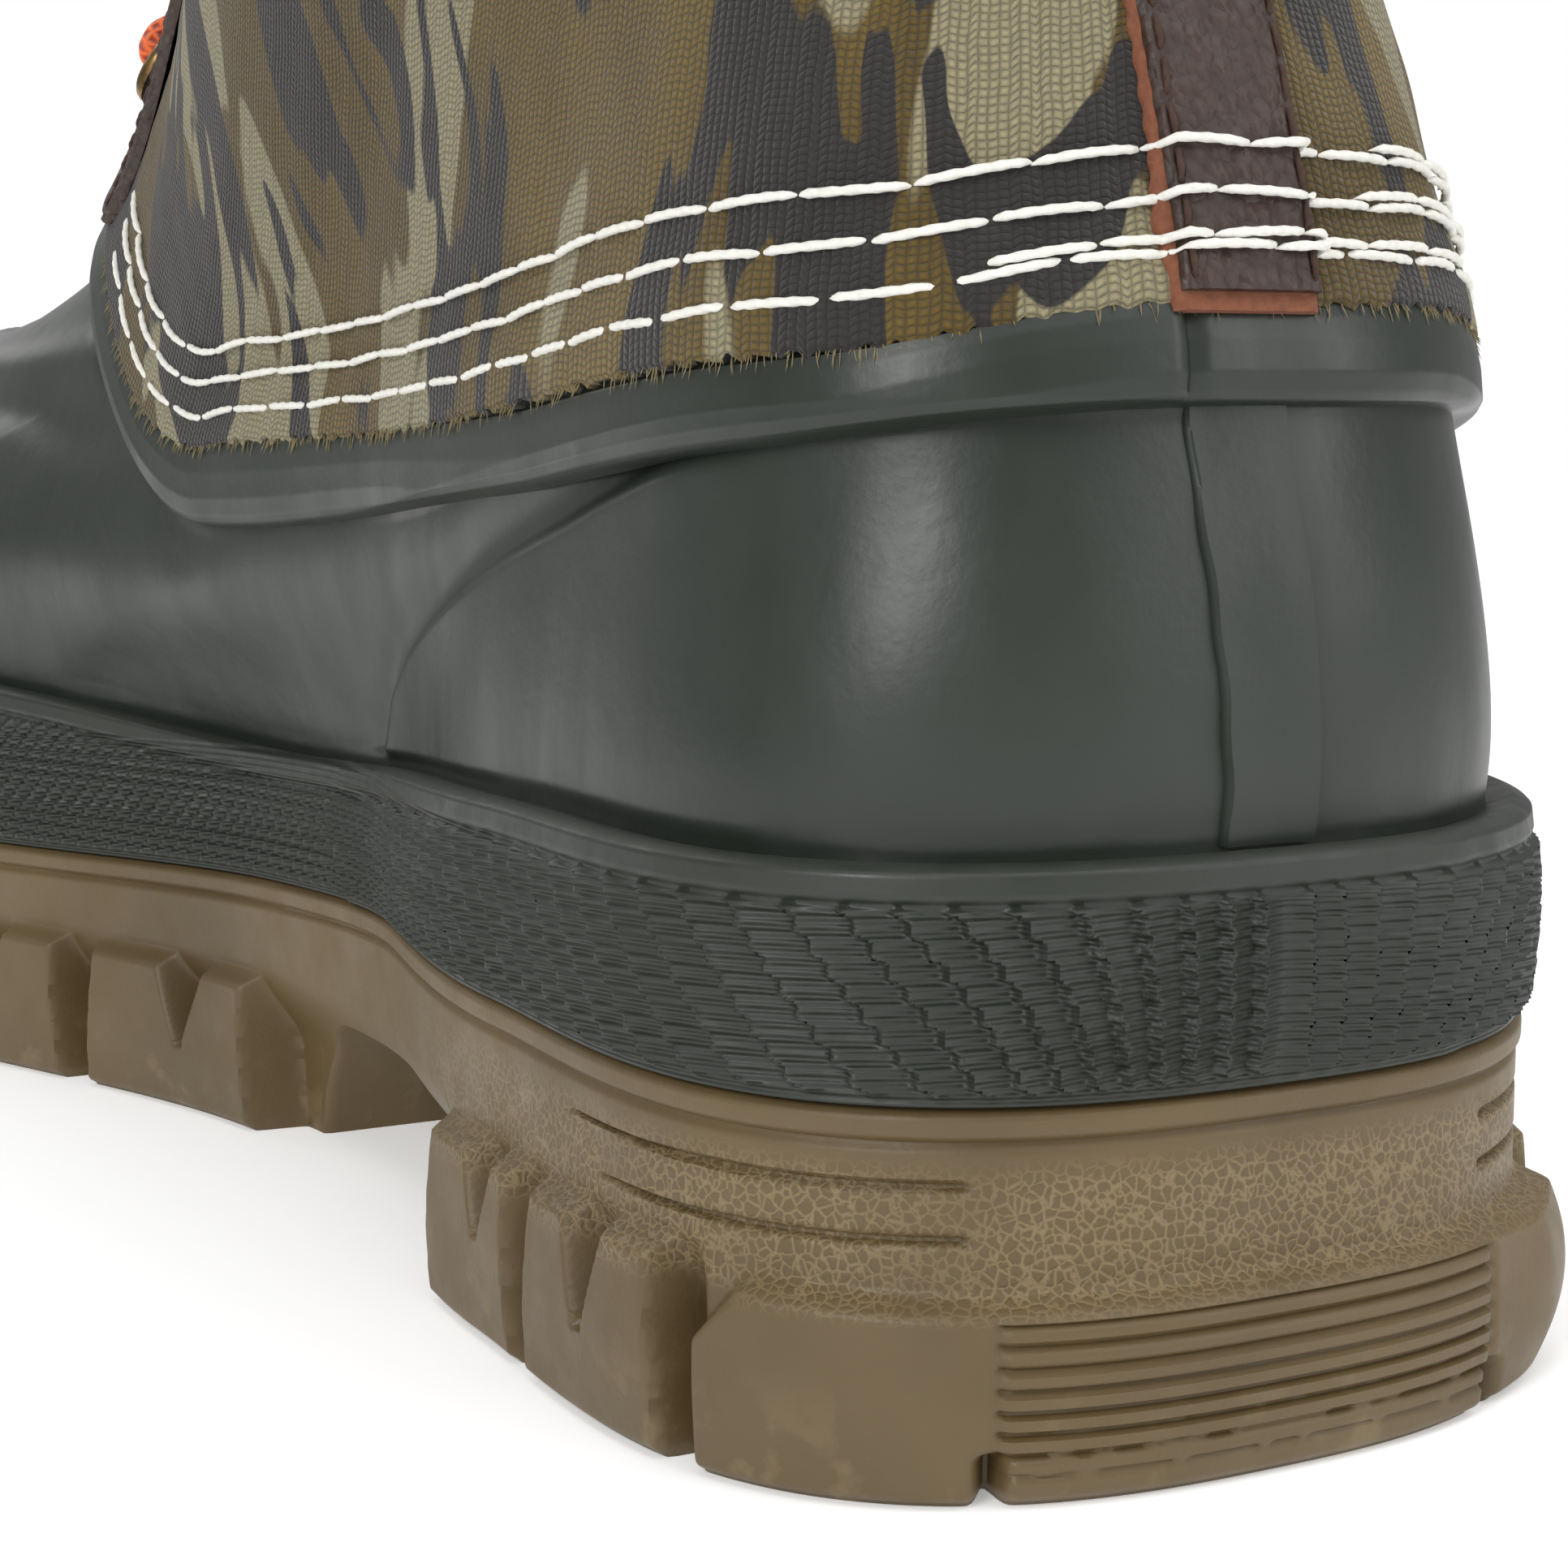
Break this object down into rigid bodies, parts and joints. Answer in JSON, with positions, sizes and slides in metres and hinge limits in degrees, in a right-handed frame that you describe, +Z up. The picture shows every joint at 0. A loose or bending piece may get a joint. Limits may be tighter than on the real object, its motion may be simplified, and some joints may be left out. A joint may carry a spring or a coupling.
{
  "type": "insulated hunting boot",
  "caption": "Lace-up insulated boot for the right foot: rubber lower shell, canvas shaft, padded lining, lugged sole, hinged tongue and pull loop.",
  "frame": {"origin": "middle of the boot's box, on the ground", "axes": "+Z up, toe towards -Y, inner (medial) side of the foot towards +X"},
  "size_m": [0.1082, 0.306, 0.2384],
  "materials": {
    "gum_rubber": "matte, moulded",
    "green_rubber": "satin",
    "camo_canvas": "coarse printed canvas",
    "brown_leather": "pebbled, semi-matte",
    "webbing": "woven",
    "insulation_foam": "bonded batting",
    "fleece_lining": "napped fleece",
    "fibre_board": "matte",
    "footbed_foam": "cloth-faced foam",
    "midsole_foam": "matte foam",
    "spring_steel": "brushed",
    "antique_brass": "antiqued",
    "orange_lace": "round braid",
    "clear_plastic": "clear over braid"
  },
  "bodies": {
    "boot": {"outsole": "gum_rubber", "shank": "spring_steel", "midsole": "midsole_foam", "insole_board": "fibre_board", "footbed": "footbed_foam", "foxing_band": "green_rubber", "rubber_shell": "green_rubber", "shell_rim": "green_rubber", "heel_stay": "green_rubber", "insulation_foot": "insulation_foam", "lining_foot": "fleece_lining", "heel_counter": "fibre_board", "quarter_medial": "camo_canvas", "insulation_medial": "insulation_foam", "lining_medial": "fleece_lining", "eyestay_medial": "brown_leather", "quarter_lateral": "camo_canvas", "insulation_lateral": "insulation_foam", "lining_lateral": "fleece_lining", "eyestay_lateral": "brown_leather", "throat_leather": "brown_leather", "collar": "brown_leather", "back_strap": "brown_leather", "eyelet_medial_1": "antique_brass", "eyelet_medial_2": "antique_brass", "eyelet_medial_3": "antique_brass", "eyelet_medial_4": "antique_brass", "hook_medial_1": "antique_brass", "hook_medial_2": "antique_brass", "lace_run_medial_1": "orange_lace", "lace_run_medial_2": "orange_lace", "lace_run_medial_3": "orange_lace", "lace_run_medial_4": "orange_lace", "lace_run_medial_5": "orange_lace", "lace_run_medial_top": "orange_lace", "lace_loop_medial": "orange_lace", "lace_tail_medial": "orange_lace", "aglet_medial": "clear_plastic", "eyelet_lateral_1": "antique_brass", "eyelet_lateral_2": "antique_brass", "eyelet_lateral_3": "antique_brass", "eyelet_lateral_4": "antique_brass", "hook_lateral_1": "antique_brass", "hook_lateral_2": "antique_brass", "lace_run_lateral_1": "orange_lace", "lace_run_lateral_2": "orange_lace", "lace_run_lateral_3": "orange_lace", "lace_run_lateral_4": "orange_lace", "lace_run_lateral_5": "orange_lace", "lace_run_lateral_top": "orange_lace", "lace_loop_lateral": "orange_lace", "lace_tail_lateral": "orange_lace", "aglet_lateral": "clear_plastic", "lace_bar": "orange_lace", "lace_knot": "orange_lace"},
    "tongue": {"tongue": "camo_canvas", "gusset_medial": "webbing", "gusset_lateral": "webbing"},
    "pull_loop": {"pull_loop": "webbing"}
  },
  "joints": [
    {"name": "tongue_tilt", "type": "hinge", "parent": "boot", "child": "tongue", "pos_m": [0.0015, -0.0206, 0.0865], "axis": [1, 0, 0], "range_deg": [-10, 0]},
    {"name": "pull_loop_fold", "type": "hinge", "parent": "boot", "child": "pull_loop", "pos_m": [-0.005, 0.1431, 0.2033], "axis": [1, 0, 0], "range_deg": [-80, 0], "stiffness_Nm_per_rad": 0.004}
  ]
}
